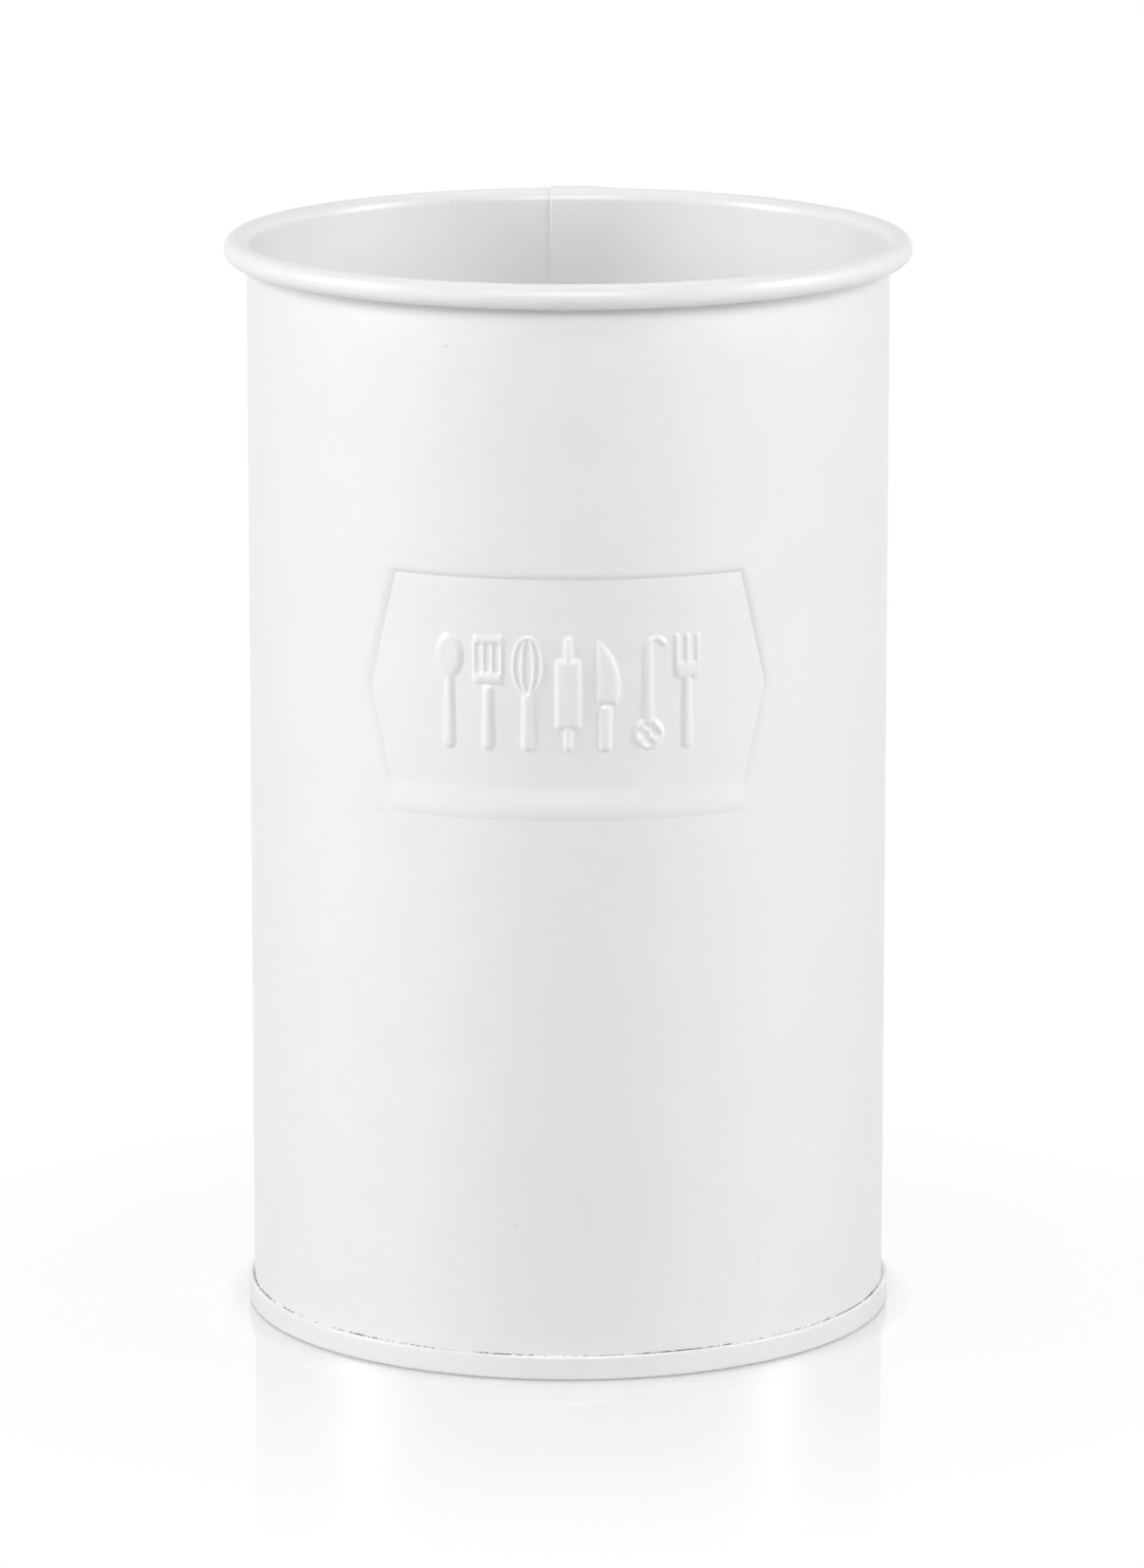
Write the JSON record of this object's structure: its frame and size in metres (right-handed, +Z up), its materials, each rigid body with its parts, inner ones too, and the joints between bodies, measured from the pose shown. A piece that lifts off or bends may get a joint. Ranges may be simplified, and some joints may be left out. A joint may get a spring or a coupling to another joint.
{
  "type": "utensil holder",
  "caption": "Open-topped round tin that stands on a worktop and holds kitchen utensils upright, with a curled rim, a pressed plaque on its front and a double-seamed base.",
  "frame": {"origin": "on the worktop, under the middle of the round wall", "axes": "+Z up along the middle line of the can, -Y towards the pressed plaque, +X to the right seen from the front"},
  "size_m": [0.11, 0.1103, 0.1753],
  "materials": {
    "painted_sheet": "white satin paint with a fine orange-peel texture",
    "painted_base": "white satin paint with a fine orange-peel texture"
  },
  "bodies": {
    "root": {"can_body": "painted_sheet", "base_end": "painted_base"}
  },
  "joints": []
}
